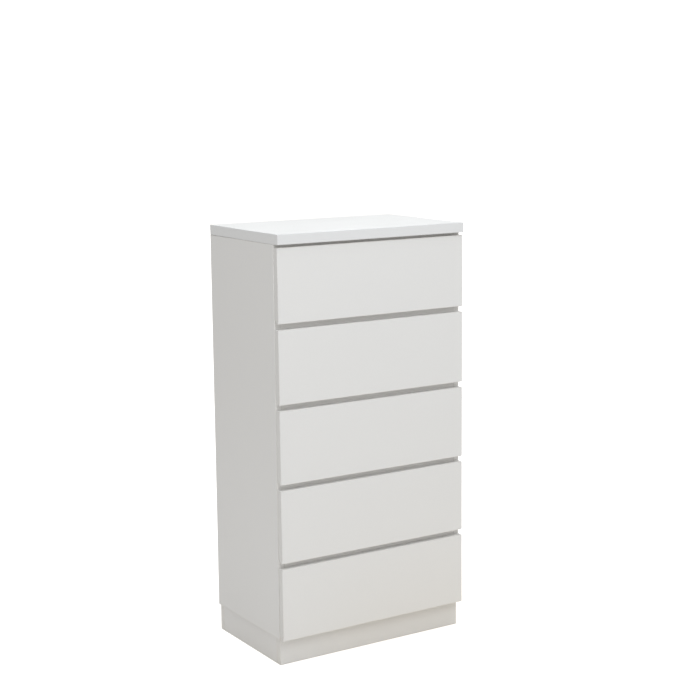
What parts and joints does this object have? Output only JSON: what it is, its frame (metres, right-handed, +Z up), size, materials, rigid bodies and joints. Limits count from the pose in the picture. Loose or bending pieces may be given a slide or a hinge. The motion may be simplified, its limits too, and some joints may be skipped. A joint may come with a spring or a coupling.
{
  "type": "tall chest of drawers",
  "caption": "Tall narrow chest with handle-free overlaid drawer fronts, finger gaps between them, a thick top panel and a recessed plinth; each drawer slides on grooved runner strips.",
  "frame": {"origin": "centre of the chest's footprint, on the floor it stands on", "axes": "+Z up, -Y out of the drawer fronts, +X to the right hand of a person facing the fronts"},
  "size_m": [0.6, 0.38, 1.18],
  "materials": {
    "white_lacquer": "white satin foil over particle board",
    "drawer_foil": "matt white foil over particle board",
    "white_hardboard": "thin hardboard with a white printed face",
    "raw_wood": "unfinished pine",
    "runner_plastic": "moulded light grey plastic"
  },
  "bodies": {
    "carcass": {"top_panel": "white_lacquer", "side_panel_left": "white_lacquer", "side_panel_right": "white_lacquer", "base_panel": "white_lacquer", "back_panel": "white_hardboard", "top_rear_rail": "white_lacquer", "top_front_rail": "white_lacquer", "cross_rail_1": "white_lacquer", "cross_rail_2": "white_lacquer", "cross_rail_3": "white_lacquer", "cross_rail_4": "white_lacquer", "plinth_front": "white_lacquer", "plinth_rear": "white_lacquer", "plinth_left": "white_lacquer", "plinth_right": "white_lacquer", "plinth_block_front_left": "raw_wood", "plinth_block_front_right": "raw_wood", "plinth_block_rear_left": "raw_wood", "plinth_block_rear_right": "raw_wood", "runner_1_left": "runner_plastic", "runner_1_right": "runner_plastic", "runner_2_left": "runner_plastic", "runner_2_right": "runner_plastic", "runner_3_left": "runner_plastic", "runner_3_right": "runner_plastic", "runner_4_left": "runner_plastic", "runner_4_right": "runner_plastic", "runner_5_left": "runner_plastic", "runner_5_right": "runner_plastic"},
    "drawer_1": {"drawer_1_front": "white_lacquer", "drawer_1_side_left": "drawer_foil", "drawer_1_side_right": "drawer_foil", "drawer_1_back": "drawer_foil", "drawer_1_bottom": "white_hardboard"},
    "drawer_2": {"drawer_2_front": "white_lacquer", "drawer_2_side_left": "drawer_foil", "drawer_2_side_right": "drawer_foil", "drawer_2_back": "drawer_foil", "drawer_2_bottom": "white_hardboard"},
    "drawer_3": {"drawer_3_front": "white_lacquer", "drawer_3_side_left": "drawer_foil", "drawer_3_side_right": "drawer_foil", "drawer_3_back": "drawer_foil", "drawer_3_bottom": "white_hardboard"},
    "drawer_4": {"drawer_4_front": "white_lacquer", "drawer_4_side_left": "drawer_foil", "drawer_4_side_right": "drawer_foil", "drawer_4_back": "drawer_foil", "drawer_4_bottom": "white_hardboard"},
    "drawer_5": {"drawer_5_front": "white_lacquer", "drawer_5_side_left": "drawer_foil", "drawer_5_side_right": "drawer_foil", "drawer_5_back": "drawer_foil", "drawer_5_bottom": "white_hardboard"}
  },
  "joints": [
    {"name": "drawer_1_slide_joint", "type": "slide", "parent": "carcass", "child": "drawer_1", "axis": [0, -1, 0], "range_m": [0, 0.24]},
    {"name": "drawer_2_slide_joint", "type": "slide", "parent": "carcass", "child": "drawer_2", "axis": [0, -1, 0], "range_m": [0, 0.24]},
    {"name": "drawer_3_slide_joint", "type": "slide", "parent": "carcass", "child": "drawer_3", "axis": [0, -1, 0], "range_m": [0, 0.24]},
    {"name": "drawer_4_slide_joint", "type": "slide", "parent": "carcass", "child": "drawer_4", "axis": [0, -1, 0], "range_m": [0, 0.24]},
    {"name": "drawer_5_slide_joint", "type": "slide", "parent": "carcass", "child": "drawer_5", "axis": [0, -1, 0], "range_m": [0, 0.24]}
  ]
}
